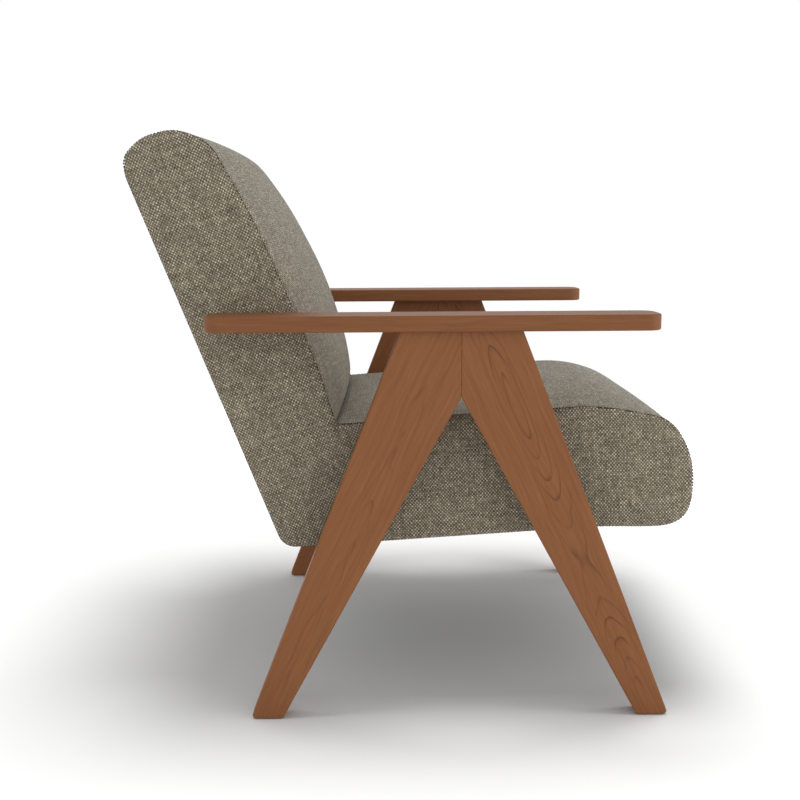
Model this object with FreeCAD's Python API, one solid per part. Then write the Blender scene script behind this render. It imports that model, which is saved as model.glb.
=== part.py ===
import FreeCAD, Part
import math
import os

# Accent chair: an upholstered L-shaped body between two flat plank A-frames.
# Millimetres. The sitter faces -Y, the sitter's left is +X, and Z is up.
# Side profiles are drawn in two measures: how far a point lies forward of the
# body's rear, and how high it is.

Vector = FreeCAD.Vector
os.makedirs("parts", exist_ok=True)

# Driving sizes of the upholstered body.
body_depth = 806.0
body_height = 826.0
body_width = 524.0
crown_depth = 38.0

# Driving sizes of the two A-frames and their armrests.
leg_gap = 36.0
plank_thickness = 30.0
foot_reach = 298.0
foot_width = 45.4
head_reach = 83.3
apex_height = 462.4
arm_underside = 552.5
arm_thickness = 22.0
arm_width = 74.0
arm_overhang = 11.0
arm_rear_reach = 347.3
arm_front_reach = 270.7

# Layers of the upholstery and of the hidden timber.
cover_thickness = 3.0
side_cover_thickness = 5.0
side_pad_thickness = 10.4
side_board_thickness = 18.0
edge_foam = 22.0
underside_margin = 3.6
seat_foam_depth = 92.0
back_foam_depth = 58.0
rail_thickness = 28.0
fit_gap = 0.4
bore_gap = 0.1

# The legs' butt joint lies this share of the body's depth from its rear.
leg_joint_share = 0.5725

# Corners of the side profile, clockwise from the rear underside. Each has its
# place forward and up as shares of the body's depth and height, its radius as
# a share of the slab's thickness, and how far the covers swell there at the
# middle of the width, forward and up, as shares of the crown's depth.
profile_shares = {
    "rear_underside": (0.2584, 0.2801, 0.225, -0.05, -0.03),
    "rear_shoulder": (0.0041, 0.9214, 0.373, -0.13, 0.0),
    "rear_crest": (0.0, 0.9535, 0.187, -0.13, 0.0),
    "crest_back": (0.0325, 0.9859, 0.439, -0.05, 0.0),
    "crest_top": (0.0888, 1.0001, 0.452, -0.20, 0.06),
    "crest_front": (0.1479, 0.9805, 0.653, 0.45, 0.01),
    "shoulder_rest": (0.2157, 0.8609, 60.0, 0.57, 0.56),
    "middle_rest": (0.2741, 0.7273, 60.0, 1.00, 0.26),
    "lumbar_rest": (0.3296, 0.5908, 60.0, 0.72, 0.19),
    "back_heel": (0.3498, 0.5249, 60.0, 0.46, 0.04),
    "crease": (0.3571, 0.5007, 0.100, 0.0, 0.0),
    "seat_heel": (0.3759, 0.5022, 60.0, 0.0, 0.18),
    "seat_rear": (0.5346, 0.5147, 60.0, 0.01, 0.16),
    "seat_front": (0.8260, 0.5310, 2.32, 0.43, 0.53),
    "nose_top": (0.9552, 0.5061, 1.12, -0.39, 0.31),
    "nose_brow": (0.9901, 0.4473, 0.776, 0.15, 0.04),
    "nose_face": (1.0, 0.3812, 0.693, 0.15, 0.0),
    "nose_underside": (0.9742, 0.3168, 0.299, 0.08, -0.06),
    "underside": (0.8140, 0.3132, 2.50, 0.0, -0.05),
}
# Places on the profile's straight runs where covers and pads end, each with
# the run's two corners and the share of the way along it.
profile_seam_shares = {
    "rear_seam_low": ("rear_shoulder", "rear_crest", 0.56),
    "rear_seam": ("rear_shoulder", "rear_crest", 0.58),
    "pad_low": ("rear_underside", "rear_shoulder", 0.07),
    "pad_high": ("rear_underside", "rear_shoulder", 0.95),
    "seat_end": ("crease", "seat_heel", 0.19),
    "nose_foam_end": ("nose_underside", "underside", 0.10),
    "front_wrap_end": ("nose_underside", "underside", 0.55),
    "dust_front": ("nose_underside", "underside", 0.56),
    "dust_rear": ("underside", "rear_underside", 0.900),
    "rear_wrap_end": ("underside", "rear_underside", 0.902),
}
profile_order = (
    "rear_underside", "pad_low", "pad_high", "rear_shoulder",
    "rear_seam_low", "rear_seam", "rear_crest", "crest_back", "crest_top", "crest_front", "shoulder_rest",
    "middle_rest", "lumbar_rest", "back_heel", "crease", "seat_end", "seat_heel", "seat_rear",
    "seat_front", "nose_top", "nose_brow", "nose_face", "nose_underside",
    "nose_foam_end", "front_wrap_end", "dust_front", "underside",
    "dust_rear", "rear_wrap_end",
)
underside_runs = profile_order[profile_order.index("nose_underside"):]


def share_place(name):
    return Vector(profile_shares[name][0] * body_depth, profile_shares[name][1] * body_height, 0)


# The back slab's thickness, square to its rear face at the crease.
slab_thickness = share_place("crease").distanceToLine(
    share_place("rear_shoulder"), share_place("rear_shoulder") - share_place("rear_underside"))

# Across the width, the covers swell fully at the middle and not at all at the
# side seams, which they leave at a gentle slope. The power sets how flat the
# middle is.
crown_stations = 13
crown_power = 3.0
corner_share = 0.47
least_radius = 2.0

pieces = {}


def keep(name, *solids):
    """Hold one named piece, or a group of like pieces, for the end."""
    pieces[name] = solids[0] if len(solids) == 1 else Part.makeCompound(list(solids))


def spot(side, forward, height):
    return Vector(side, -forward, height)


def between(first, second, share):
    return tuple(a + (b - a) * share for a, b in zip(first, second))


def profile(swell):
    """The side profile's corners, with the covers swollen by a share."""
    corners = {}
    for name, row in profile_shares.items():
        forward = row[0] * body_depth + row[3] * crown_depth * swell
        height = row[1] * body_height + row[4] * crown_depth * swell
        corners[name] = (forward, height, row[2] * slab_thickness)
    for name, row in profile_seam_shares.items():
        place = between(corners[row[0]], corners[row[1]], row[2])
        corners[name] = (place[0], place[1], 0)
    return corners


def inset(corners, depth, underside_depth=None):
    """Move every run of the profile into the body by a depth."""
    if underside_depth is None:
        underside_depth = depth
    moved = {}
    for place, name in enumerate(profile_order):
        before_name = profile_order[place - 1]
        after_name = profile_order[(place + 1) % len(profile_order)]
        before, here, after = corners[before_name], corners[name], corners[after_name]
        into = Vector(here[0] - before[0], here[1] - before[1], 0).normalize()
        out = Vector(after[0] - here[0], after[1] - here[1], 0).normalize()
        into_side = Vector(into.y, -into.x, 0)
        out_side = Vector(out.y, -out.x, 0)
        into_depth = underside_depth if before_name in underside_runs else depth
        out_depth = underside_depth if name in underside_runs else depth
        cross = into_side.x * out_side.y - into_side.y * out_side.x
        if abs(cross) < 1e-6:
            move = into_side * into_depth
        else:
            move = Vector(
                (into_depth * out_side.y - out_depth * into_side.y) / cross,
                (out_depth * into_side.x - into_depth * out_side.x) / cross, 0)
        radius = here[2]
        if radius > 0:
            bend = -1 if cross > 0 else 1
            radius = max(radius - bend * min(into_depth, out_depth), least_radius)
        moved[name] = (here[0] + move.x, here[1] + move.y, radius)
    return moved


def rounded_wire(side, corners):
    """A closed wire at one place across the width, with rounded corners."""
    arcs = []
    count = len(corners)
    for place, corner in enumerate(corners):
        here = spot(side, corner[0], corner[1])
        radius = corner[2] if len(corner) > 2 else 0
        if radius == 0:
            arcs.append((here, None, here))
            continue
        before = spot(side, *corners[place - 1][:2])
        after = spot(side, *corners[(place + 1) % count][:2])
        into = (here - before).normalize()
        out = (after - here).normalize()
        half_turn = into.getAngle(out) / 2
        room = corner_share * min(here.distanceToPoint(before), here.distanceToPoint(after))
        cut = min(radius * math.tan(half_turn), room)
        radius = cut / math.tan(half_turn)
        inward = (out - into).normalize()
        middle = here + inward * (radius / math.cos(half_turn) - radius)
        arcs.append((here - into * cut, middle, here + out * cut))
    edges = []
    for place, (start, middle, end) in enumerate(arcs):
        if middle is not None:
            edges.append(Part.Arc(start, middle, end).toShape())
        following = arcs[(place + 1) % count][0]
        edges.append(Part.LineSegment(end, following).toShape())
    return Part.Wire(edges)


def slab(low_side, high_side, corners):
    """A flat piece: one outline pushed across the width."""
    face = Part.Face(rounded_wire(low_side, corners))
    return face.extrude(Vector(high_side - low_side, 0, 0))


def crowned(half_width, section):
    """A crowned piece: section(swell) lofted across the width."""
    wires = []
    for number in range(crown_stations):
        turn = math.pi * (number / (crown_stations - 1) - 1 / 2)
        share = math.sin(turn)
        swell = 1 - abs(share) ** crown_power
        wires.append(rounded_wire(share * half_width, section(swell)))
    return Part.makeLoft(wires, True, False)


def band(half_width, names, outer_depth, inner_depth):
    """A cover: a thin crowned skin that follows part of the profile."""
    def section(swell):
        corners = profile(swell)
        outer = inset(corners, outer_depth)
        inner = inset(corners, inner_depth)
        first = [outer[name] for name in names]
        second = [inner[name] for name in reversed(names)]
        for row in (first, second):
            row[0] = row[0][:2]
            row[-1] = row[-1][:2]
        return first + second
    return crowned(half_width, section)


def run(first, last):
    start, end = profile_order.index(first), profile_order.index(last)
    return profile_order[start:end + 1]


def box(low_side, high_side, rear, front, low, high):
    corner = spot(low_side, front, low)
    return Part.makeBox(high_side - low_side, front - rear, high - low, corner)


def rod_across(low_side, high_side, forward, height, diameter):
    return Part.makeCylinder(
        diameter / 2, high_side - low_side, spot(low_side, forward, height), Vector(1, 0, 0))


def rod_forward(side, rear, front, height, diameter):
    return Part.makeCylinder(
        diameter / 2, front - rear, spot(side, rear, height), Vector(0, -1, 0))


def rod_up(side, forward, low, high, diameter):
    return Part.makeCylinder(
        diameter / 2, high - low, spot(side, forward, low), Vector(0, 0, 1))


def oblong(low_side, high_side, first, second, width):
    """A long round-ended block whose ends centre on two points."""
    start = spot(low_side, *first)
    end = spot(low_side, *second)
    along = (end - start).normalize()
    beside = along.cross(Vector(1, 0, 0)) * (width / 2)
    tip = along * (width / 2)
    edges = [
        Part.LineSegment(start + beside, end + beside).toShape(),
        Part.Arc(end + beside, end + tip, end - beside).toShape(),
        Part.LineSegment(end - beside, start - beside).toShape(),
        Part.Arc(start - beside, start - tip, start + beside).toShape(),
    ]
    face = Part.Face(Part.Wire(edges))
    return face.extrude(Vector(high_side - low_side, 0, 0))


def other_side(shape):
    return shape.mirror(Vector(0, 0, 0), Vector(1, 0, 0))


def both_sides(solids):
    return list(solids) + [other_side(solid) for solid in solids]


# Where the layers lie across the width, from the side cover inwards.
flat = profile(0)
body_half = body_width / 2
cover_inner = body_half - side_cover_thickness
crown_half = cover_inner - fit_gap
pad_inner = body_half - side_cover_thickness - fit_gap - side_pad_thickness
board_outer = pad_inner - fit_gap
board_inner = board_outer - side_board_thickness
leg_inner = body_half + leg_gap
leg_outer = leg_inner + plank_thickness
leg_middle = leg_inner + plank_thickness / 2

# The seat's slope, and the line of the rails' top faces below it.
crease = flat["crease"]
seat_slope = (flat["seat_front"][1] - crease[1]) / (flat["seat_front"][0] - crease[0])


def rail_top(forward):
    return crease[1] + (forward - crease[0]) * seat_slope - seat_foam_depth


def underside_height(forward):
    low, high = flat["rear_underside"], flat["underside"]
    return low[1] + (forward - low[0]) * (high[1] - low[1]) / (high[0] - low[0])


# The back's lean, and places in it: so far up from the crease, so deep in.
back_lean = math.atan2(
    crease[0] - flat["shoulder_rest"][0], flat["shoulder_rest"][1] - crease[1])


def back_place(up, deep):
    return (
        crease[0] - deep * math.cos(back_lean) - up * math.sin(back_lean),
        crease[1] - deep * math.sin(back_lean) + up * math.cos(back_lean))


def back_reach(name):
    """How far up the back from the crease a corner of the profile lies."""
    forward, height = flat[name][0] - crease[0], flat[name][1] - crease[1]
    return height * math.cos(back_lean) - forward * math.sin(back_lean)


def back_block(half_width, low, high, shallow, deep, middle=0):
    corners = [back_place(low, shallow), back_place(high, shallow),
               back_place(high, deep), back_place(low, deep)]
    return slab(middle - half_width, middle + half_width, corners)


# Plank legs: each A-frame is two tapered planks that butt at a vertical joint.
glide_proud = 1.0
foot_round = 5.0
plank_ease = 2.0
joint = leg_joint_share * body_depth
foot_inner = foot_reach - foot_width


def leg_plank(direction):
    """One plank of the left frame: direction -1 is the rear leg, 1 the front."""
    corners = [
        (joint + direction * foot_reach, glide_proud),
        (joint + direction * foot_inner, glide_proud),
        (joint, apex_height),
        (joint, arm_underside),
        (joint + direction * head_reach, arm_underside),
    ]
    plank = slab(leg_inner, leg_outer, corners)
    foot_edges = [
        edge for edge in plank.Edges
        if edge.BoundBox.ZMax < glide_proud + foot_round and edge.BoundBox.YLength < foot_round]
    plank = plank.makeFillet(foot_round, foot_edges)
    eased = [
        edge for edge in plank.Edges
        if edge.BoundBox.XLength < plank_ease
        and edge.BoundBox.ZMin < apex_height - foot_round
        and edge.BoundBox.ZMax > glide_proud - foot_round
        and not (edge.BoundBox.YLength < plank_ease and edge.BoundBox.ZMin > foot_round * 2)]
    return plank.makeFillet(plank_ease, eased)


def leg_centre(direction, height):
    rise = height - glide_proud
    outer = foot_reach - (foot_reach - head_reach) * rise / (
        arm_underside - glide_proud)
    inner = foot_inner * (1 - rise / (apex_height - glide_proud))
    return (joint + direction * (outer + inner) / 2, height)


legs = {"rear": leg_plank(-1), "front": leg_plank(1)}

# The butt joint's edges are eased, which leaves a fine groove down each face.
joint_ease = 0.8
for side in (leg_inner, leg_outer):
    corners = [
        spot(side, joint - joint_ease, 0), spot(side + joint_ease, joint, 0),
        spot(side, joint + joint_ease, 0), spot(side - joint_ease, joint, 0)]
    groove = Part.Face(Part.makePolygon(corners + corners[:1])).extrude(
        Vector(0, 0, arm_underside))
    for end in legs:
        legs[end] = legs[end].cut(groove)

# Two dowels across each butt joint.
joint_dowel_diameter = 10.0
joint_dowel_length = 44.0
joint_dowel_share = (0.28, 0.68)
joint_dowels = []
for share in joint_dowel_share:
    height = apex_height + (arm_underside - apex_height) * share
    half = joint_dowel_length / 2
    joint_dowels.append(
        rod_forward(leg_middle, joint - half, joint + half, height, joint_dowel_diameter))
    bore = rod_forward(
        leg_middle, joint - half - bore_gap, joint + half + bore_gap, height,
        joint_dowel_diameter + 2 * bore_gap)
    for end in legs:
        legs[end] = legs[end].cut(bore)
keep("leg_joint_dowels", *both_sides(joint_dowels))

# The armrest is a flat plank with ends rounded in plan, over the two legs.
arm_end_round = 22.0
arm_ease = 2.5
arm_outer = leg_outer + arm_overhang
arm_inner = arm_outer - arm_width
arm = box(arm_inner, arm_outer, joint - arm_rear_reach, joint + arm_front_reach,
          arm_underside, arm_underside + arm_thickness)
arm = arm.makeFillet(arm_end_round, [
    edge for edge in arm.Edges
    if edge.BoundBox.ZLength > arm_thickness / 2])
arm = arm.makeFillet(arm_ease, [
    edge for edge in arm.Edges if edge.BoundBox.ZLength < arm_thickness / 2])

# Dowels stand in the legs' heads and glue into the armrest.
arm_dowel_diameter = 10.0
arm_dowel_in_arm = 14.0
arm_dowel_in_leg = 22.0
arm_dowel_share = (0.32, 0.72)
arm_dowels = []
for direction in (-1, 1):
    for share in arm_dowel_share:
        forward = joint + direction * head_reach * share
        low = arm_underside - arm_dowel_in_leg
        high = arm_underside + arm_dowel_in_arm
        arm_dowels.append(rod_up(leg_middle, forward, low, high, arm_dowel_diameter))
        bore = rod_up(leg_middle, forward, low - bore_gap, high + bore_gap,
                      arm_dowel_diameter + 2 * bore_gap)
        arm = arm.cut(bore)
        for end in legs:
            legs[end] = legs[end].cut(bore)
keep("arm_dowels", *both_sides(arm_dowels))

# A nylon glide is let into the underside of each foot.
glide_diameter = 18.0
glide_height = 5.0
glides = []
for end, direction in (("rear", -1), ("front", 1)):
    forward = joint + direction * (foot_reach + foot_inner) / 2
    glides.append(rod_up(leg_middle, forward, 0, glide_height, glide_diameter))
    legs[end] = legs[end].cut(
        rod_up(leg_middle, forward, 0, glide_height + bore_gap, glide_diameter + 2 * bore_gap))
keep("foot_glides", *both_sides(glides))

# Each leg is bolted to the body through a round-ended spacer block, with two
# bolts from inside into threaded inserts in the leg.
bolt_diameter = 8.0
bolt_head_diameter = 13.0
bolt_head_height = 8.0
washer_diameter = 20.0
washer_thickness = 1.6
insert_diameter = 12.0
insert_length = 16.0
bolt_in_insert = 14.0
spacer_width = 34.0
bolt_low_share = 0.4
washer_clearance = 2.0
board_corners = inset(flat, edge_foam, underside_margin)
board_outline = [board_corners[name] for name in profile_shares]
side_board = slab(board_inner, board_outer, board_outline)
side_pad = slab(pad_inner, cover_inner - fit_gap, board_outline)

# The side cover is fabric over wadding, with a bevelled edge at its seam.
cover_bevel = 4.0
cover_edge = 2.0
cover_wires = []
for side, depth in ((cover_inner, 0), (cover_inner + cover_edge, 0), (body_half, cover_bevel)):
    corners = inset(flat, depth)
    cover_wires.append(rounded_wire(side, [corners[name] for name in profile_shares]))
side_cover = Part.makeLoft(cover_wires, True, True)


def bolt_places(direction):
    """A leg's two bolts, between the body's underside and the springs."""
    forward = leg_centre(direction, rail_top(joint))[0]
    low, high = underside_height(forward), rail_top(forward)
    return (
        leg_centre(direction, low + (high - low) * bolt_low_share),
        leg_centre(direction, high - washer_diameter / 2 - washer_clearance))


spacers, bolts, washers, inserts = [], [], [], []
for end, direction in (("rear", -1), ("front", 1)):
    places = bolt_places(direction)
    spacer = oblong(board_outer, leg_inner, places[0], places[1], spacer_width)
    hole = oblong(board_outer, leg_inner, places[0], places[1], spacer_width + 2 * fit_gap)
    side_pad = side_pad.cut(hole)
    side_cover = side_cover.cut(hole)
    for forward, height in places:
        tip = leg_inner + bolt_in_insert
        seat = board_inner - washer_thickness
        shank = rod_across(seat, tip, forward, height, bolt_diameter)
        head = rod_across(seat - bolt_head_height, seat, forward, height, bolt_head_diameter)
        bolts.append(shank.fuse(head).removeSplitter())
        bore = rod_across(seat, leg_inner, forward, height, bolt_diameter + 2 * bore_gap)
        washer = rod_across(seat, board_inner, forward, height, washer_diameter)
        washers.append(washer.cut(bore))
        spacer = spacer.cut(bore)
        side_board = side_board.cut(bore)
        sleeve_bore = rod_across(
            leg_inner, leg_inner + insert_length, forward, height, bolt_diameter + 2 * bore_gap)
        sleeve = rod_across(
            leg_inner, leg_inner + insert_length, forward, height, insert_diameter)
        inserts.append(sleeve.cut(sleeve_bore))
        legs[end] = legs[end].cut(rod_across(
            leg_inner, leg_inner + insert_length + bore_gap, forward, height,
            insert_diameter + 2 * bore_gap))
    spacers.append(spacer)
keep("leg_spacers", *both_sides(spacers))
keep("leg_bolts", *both_sides(bolts))
keep("leg_bolt_washers", *both_sides(washers))
keep("leg_inserts", *both_sides(inserts))
for end, leg in legs.items():
    keep("leg_" + end + "_left", leg)
    keep("leg_" + end + "_right", other_side(leg))
keep("armrest_left", arm)
keep("armrest_right", other_side(arm))

# Timber rails join the two side boards.
front_rail_setback = 36.0
rail_underside_gap = 9.0
rear_rail_setback = 19.0
front_rail_front = body_depth - front_rail_setback
front_rail_rear = front_rail_front - rail_thickness
front_rail = box(-board_inner, board_inner, front_rail_rear, front_rail_front,
                 flat["underside"][1] + rail_underside_gap, rail_top(front_rail_rear))
rear_rail_rear = flat["rear_underside"][0] + rear_rail_setback
rear_rail_front = rear_rail_rear + rail_thickness
rear_rail = box(-board_inner, board_inner, rear_rail_rear, rear_rail_front,
                underside_height(rear_rail_front) + rail_underside_gap,
                rail_top(rear_rail_rear))
webbing_thickness = 2.0
rail_face = back_foam_depth + webbing_thickness
back_rail_height = 56.0
lower_rail_low = 15.0
lower_rail_high = lower_rail_low + back_rail_height
crest_foam = 37.0
top_rail_high = back_reach("crest_top") - crest_foam
top_rail_low = top_rail_high - back_rail_height
lower_rail = back_block(
    board_inner, lower_rail_low, lower_rail_high, rail_face, rail_face + rail_thickness)
top_rail = back_block(
    board_inner, top_rail_low, top_rail_high, rail_face, rail_face + rail_thickness)

# Countersunk screws hold the rails' ends to the side boards.
screw_diameter = 4.5
screw_head_diameter = 9.0
screw_length = 55.0
screw_head_height = 3.0
screw_inset = 16.0


def rail_screw(forward, height, gap):
    radius = screw_diameter / 2 + gap
    shank = Part.makeCylinder(
        radius, screw_length + gap, spot(board_outer, forward, height), Vector(-1, 0, 0))
    head = Part.makeCone(
        screw_head_diameter / 2 + gap, radius, screw_head_height,
        spot(board_outer, forward, height), Vector(-1, 0, 0))
    return shank.fuse(head).removeSplitter()


rails = {
    "front_seat_rail": front_rail,
    "rear_seat_rail": rear_rail,
    "lower_back_rail": lower_rail,
    "top_back_rail": top_rail,
}
rail_middle = rail_face + rail_thickness / 2
screw_places = {
    "front_seat_rail": [
        (front_rail_rear + rail_thickness / 2, front_rail.BoundBox.ZMin + screw_inset),
        (front_rail_rear + rail_thickness / 2, front_rail.BoundBox.ZMax - screw_inset)],
    "rear_seat_rail": [
        (rear_rail_rear + rail_thickness / 2, rear_rail.BoundBox.ZMin + screw_inset),
        (rear_rail_rear + rail_thickness / 2, rear_rail.BoundBox.ZMax - screw_inset)],
    "lower_back_rail": [
        back_place(lower_rail_low + screw_inset, rail_middle),
        back_place(lower_rail_high - screw_inset, rail_middle)],
    "top_back_rail": [
        back_place(top_rail_low + screw_inset, rail_middle),
        back_place(top_rail_high - screw_inset, rail_middle)],
}
screws = []
for name, places in screw_places.items():
    for forward, height in places:
        screws.append(rail_screw(forward, height, 0))
        hole = rail_screw(forward, height, bore_gap)
        side_board = side_board.cut(hole)
        rails[name] = rails[name].cut(hole).cut(other_side(hole))
keep("rail_screws", *both_sides(screws))
for name, rail in rails.items():
    keep(name, rail)
keep("side_board_left", side_board)
keep("side_board_right", other_side(side_board))
keep("side_pad_left", side_pad)
keep("side_pad_right", other_side(side_pad))
keep("side_cover_left", side_cover)
keep("side_cover_right", other_side(side_cover))

# Three-cornered glue blocks brace the seat rails against the side boards. They
# are bored out wherever a leg bolt's head would reach into them.
block_height = 48.0
block_size = 34.0
head_room = 1.0
blocks = []
for face, direction in ((rear_rail_front, 1), (front_rail_rear, -1)):
    low = underside_height(face) + rail_underside_gap
    corners = [
        spot(board_inner, face, low),
        spot(board_inner, face + direction * block_size, low),
        spot(board_inner - block_size, face, low),
        spot(board_inner, face, low)]
    block = Part.Face(Part.makePolygon(corners)).extrude(Vector(0, 0, block_height))
    for forward, height in bolt_places(-1) + bolt_places(1):
        head_end = board_inner - washer_thickness - bolt_head_height - head_room
        block = block.cut(rod_across(
            head_end, board_inner, forward, height, washer_diameter + 2 * head_room))
    blocks.append(block)
keep("corner_blocks", *both_sides(blocks))

# Zigzag springs run from rail to rail, each end held in a clip.
spring_wire = 3.8
spring_count = 5
spring_pitch = 88.0
spring_runs = 25
spring_half_run = 15.0
clip_width = 24.0
clip_length = 16.0
clip_height = 7.0
clip_bore = spring_wire + 2 * bore_gap
rear_clip = rear_rail_rear + rail_thickness / 2
front_clip = front_rail_rear + rail_thickness / 2
rear_wire_height = rear_rail.BoundBox.ZMax + clip_height / 2
front_wire_height = front_rail.BoundBox.ZMax + clip_height / 2


def spring_line(forward):
    share = (forward - rear_clip) / (front_clip - rear_clip)
    return rear_wire_height + (front_wire_height - rear_wire_height) * share


def zigzag(middle):
    """One spring: straight runs across the seat joined by half turns."""
    step = (front_clip - rear_clip) / (spring_runs - 1)
    edges = []
    side = 1
    for number in range(spring_runs):
        forward = rear_clip + number * step
        height = spring_line(forward)
        reach = clip_width / 2 if number in (0, spring_runs - 1) else spring_half_run
        start = spot(middle - side * reach, forward, height)
        if number:
            start = spot(middle - side * spring_half_run, forward, height)
        end = spot(middle + side * spring_half_run, forward, height)
        if number == spring_runs - 1:
            end = spot(middle + side * reach, forward, height)
        edges.append(Part.LineSegment(start, end).toShape())
        if number < spring_runs - 1:
            half = forward + step / 2
            turn = spot(middle + side * (spring_half_run + step / 2), half, spring_line(half))
            over = spot(middle + side * spring_half_run, forward + step,
                        spring_line(forward + step))
            edges.append(Part.Arc(end, turn, over).toShape())
        side = -side
    path = Part.Wire(edges)
    first = edges[0].Curve.value(edges[0].FirstParameter)
    ring = Part.makeCircle(spring_wire / 2, first, Vector(1, 0, 0))
    return path.makePipeShell([Part.Wire([ring])], True, False)


springs, clips = [], []
for number in range(spring_count):
    middle = (number - (spring_count - 1) / 2) * spring_pitch
    springs.append(zigzag(middle))
    for forward, low in ((rear_clip, rear_rail.BoundBox.ZMax),
                         (front_clip, front_rail.BoundBox.ZMax)):
        clip = box(middle - clip_width / 2, middle + clip_width / 2,
                   forward - clip_length / 2, forward + clip_length / 2,
                   low, low + clip_height)
        bore = rod_across(middle - clip_width, middle + clip_width, forward,
                          low + clip_height / 2, clip_bore)
        clips.append(clip.cut(bore))
keep("seat_springs", *springs)
keep("spring_clips", *clips)

# A felt sheet over the springs keeps them out of the seat foam.
felt_thickness = 2.0
felt_edge = 12.0
felt_rear = rear_clip + clip_length / 2 + felt_thickness
felt_front = front_clip - clip_length / 2 - felt_thickness
felt_low = spring_wire / 2 + fit_gap / 2
keep("spring_felt", slab(felt_edge - board_inner, board_inner - felt_edge, [
    (felt_rear, spring_line(felt_rear) + felt_low),
    (felt_rear, spring_line(felt_rear) + felt_low + felt_thickness),
    (felt_front, spring_line(felt_front) + felt_low + felt_thickness),
    (felt_front, spring_line(felt_front) + felt_low)]))

# Elastic straps across the back, tacked to the faces of its two rails.
strap_count = 4
strap_pitch = 96.0
strap_width = 60.0
strap_end_gap = 5.0
straps = []
for number in range(strap_count):
    middle = (number - (strap_count - 1) / 2) * strap_pitch
    straps.append(back_block(
        strap_width / 2, lower_rail_low + strap_end_gap, top_rail_high - strap_end_gap,
        back_foam_depth, rail_face, middle))
keep("back_straps", *straps)

# The foams are crowned: flat against the side covers, full at the middle, and
# drawn in at the crease. They fit over the side boards and the rails.
skin = cover_thickness + fit_gap
room_corners = inset(flat, edge_foam - fit_gap, -slab_thickness)
board_room = slab(board_inner - fit_gap, crown_half + fit_gap, [
    room_corners[name] for name in profile_shares])


def seat_foam_section(swell):
    corners = inset(profile(swell), skin)
    top = [corners[name] for name in run("crease", "nose_foam_end")]
    crease_low = (top[0][0] + fit_gap, top[0][1] - fit_gap)
    rear = back_place(-fit_gap, back_foam_depth)
    nose_rear = front_rail_front + fit_gap
    low_front = spring_line(nose_rear) + felt_low + felt_thickness + fit_gap
    low_rear = spring_line(rear[0]) + felt_low + felt_thickness + fit_gap
    return [crease_low] + top[2:-1] + [
        (nose_rear, top[-1][1]), (nose_rear, low_front), (rear[0], low_rear), rear]


def back_foam_section(swell):
    corners = inset(profile(swell), skin)
    top = [corners[name] for name in run("rear_seam", "crease")]
    top[-1] = top[-1][:2]
    return top + [
        back_place(0, back_foam_depth - fit_gap),
        back_place(top_rail_high + fit_gap, back_foam_depth - fit_gap),
        back_place(top_rail_high + fit_gap, slab_thickness - edge_foam)]


seat_foam = crowned(crown_half, seat_foam_section)
back_foam = crowned(crown_half, back_foam_section)
for room in (board_room, other_side(board_room)):
    seat_foam = seat_foam.cut(room)
    back_foam = back_foam.cut(room)
keep("seat_foam", seat_foam)
keep("back_foam", back_foam)

# A hardboard panel closes the back of the frame, under a thin pad.
board_panel_thickness = 3.0
panel = inset(flat, edge_foam - board_panel_thickness)
panel_inner = inset(flat, edge_foam)
keep("outer_back_panel", slab(-board_outer, board_outer, [
    panel["pad_low"], panel["pad_high"], panel_inner["pad_high"], panel_inner["pad_low"]]))


def back_pad_section(swell):
    outer = inset(profile(swell), skin)
    inner = inset(flat, edge_foam - board_panel_thickness - fit_gap)
    return [outer["pad_low"], outer["pad_high"], inner["pad_high"], inner["pad_low"]]


keep("outer_back_pad", crowned(crown_half, back_pad_section))

# The covers are sewn panels: the seat's, the inside back's with the crest, and
# the outside back's, which turns under the body.
keep("seat_cover", band(crown_half, run("seat_end", "front_wrap_end"), 0, cover_thickness))
keep("inside_back_cover", band(crown_half, run("rear_seam", "crease"), 0, cover_thickness))
rear_names = ("rear_wrap_end",) + run("rear_underside", "rear_seam_low")
keep("outside_back_cover", band(crown_half, rear_names, 0, cover_thickness))

# Black cloth closes the underside, held by rows of wire staples.
dust_cloth_thickness = 0.8
dust_edge = 6.0
dust_outer = inset(flat, underside_margin - dust_cloth_thickness)
dust_inner = inset(flat, underside_margin)
dust_names = ("dust_front", "underside", "dust_rear")
keep("dust_cover", slab(
    dust_edge - board_outer, board_outer - dust_edge,
    [dust_outer[name] for name in dust_names]
    + [dust_inner[name] for name in reversed(dust_names)]))
staple_wire = 0.8
staple_crown = 10.0
staples_per_side = 9
staple_side = board_inner + side_board_thickness / 2 - staple_wire
staple_rear = flat["dust_rear"][0] + staple_crown
staple_front = flat["underside"][0] - staple_crown * 2
staples = []
for number in range(staples_per_side):
    share = number / (staples_per_side - 1)
    middle = staple_rear + (staple_front - staple_rear) * share
    level = underside_height(middle) + underside_margin - dust_cloth_thickness - fit_gap
    half = staple_crown / 2
    staple = box(staple_side, staple_side + staple_wire, middle - half, middle + half,
                 level - staple_wire, level)
    staples.append(staple)
keep("dust_cover_staples", *both_sides(staples))

# The chair's own frame: centred over the floor, front towards -Y.
whole = FreeCAD.BoundBox()
for shape in pieces.values():
    whole.add(shape.optimalBoundingBox(True, False))
for name, shape in pieces.items():
    shape.translate(Vector(0, -(whole.YMin + whole.YMax) / 2, 0))
    shape.exportStep("parts/" + name + ".step")
print(len(pieces), "pieces", [round(v, 1) for v in (
    whole.XMin, whole.XMax, whole.YMin, whole.YMax, whole.ZMin, whole.ZMax)])
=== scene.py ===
import bmesh
import bpy
import math
import numpy as np
from mathutils import Matrix, Vector, kdtree
from mathutils.bvhtree import BVHTree


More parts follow.
